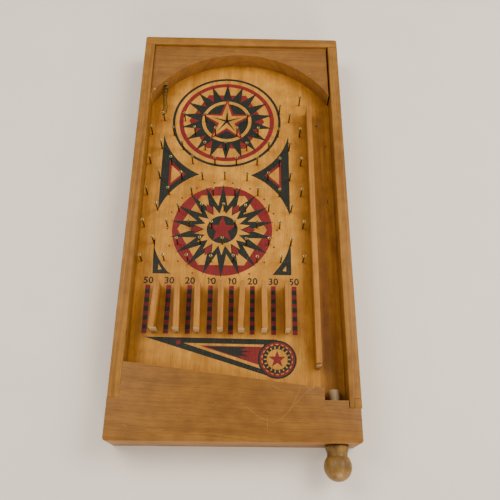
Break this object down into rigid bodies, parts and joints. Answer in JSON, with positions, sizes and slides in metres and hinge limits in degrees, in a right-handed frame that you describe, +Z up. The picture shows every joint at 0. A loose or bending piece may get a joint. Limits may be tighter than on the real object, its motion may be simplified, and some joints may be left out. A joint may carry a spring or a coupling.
{
  "type": "tabletop pin-and-ball board",
  "caption": "Wooden tabletop bagatelle board: nail field, arched back, scoring lanes, shooter lane and a pull-back spring plunger with a turned knob.",
  "frame": {"origin": "on the table under the middle of the whole object's box, knob included", "axes": "+X across the board to the shooter lane, +Y from the player's edge to the arched back, +Z up"},
  "size_m": [0.2064, 0.4458, 0.036],
  "materials": {
    "rail_wood": "honey-lacquered hardwood, satin",
    "block_wood": "lacquered flat-sawn hardwood, satin",
    "printed_plywood": "amber-lacquered plywood with screen-printed ornament",
    "strip_wood": "lightly lacquered hardwood strip",
    "turned_wood": "turned hardwood, polished lacquer",
    "bare_dowel": "bare beech dowel",
    "nail_brass": "drawn brass, slightly tarnished",
    "brad_steel": "bright steel wire"
  },
  "bodies": {
    "board": {"left_rail": "rail_wood", "right_rail": "rail_wood", "back_rail": "rail_wood", "front_block": "block_wood", "arch_block": "block_wood", "playfield_panel": "printed_plywood", "lane_wall": "strip_wood", "lane_divider_1": "strip_wood", "lane_divider_2": "strip_wood", "lane_divider_3": "strip_wood", "lane_divider_4": "strip_wood", "lane_divider_5": "strip_wood", "lane_divider_6": "strip_wood", "lane_divider_7": "strip_wood", "playfield_nails": "nail_brass", "rebound_nails": "nail_brass", "rebound_spring": "nail_brass", "rail_end_patch": "strip_wood", "frame_brads": "brad_steel", "panel_brads": "brad_steel", "guide_bush": "strip_wood", "plunger_spring": "brad_steel"},
    "plunger": {"plunger_rod": "bare_dowel", "plunger_knob": "turned_wood", "spring_washer": "brad_steel", "cross_pin": "brad_steel"}
  },
  "joints": [
    {"name": "plunger_pull", "type": "slide", "parent": "board", "child": "plunger", "axis": [0, -1, 0], "range_m": [0, 0.014], "stiffness_N_per_m": 300, "springref_m": -0.006, "deforming": ["plunger_spring"]}
  ]
}
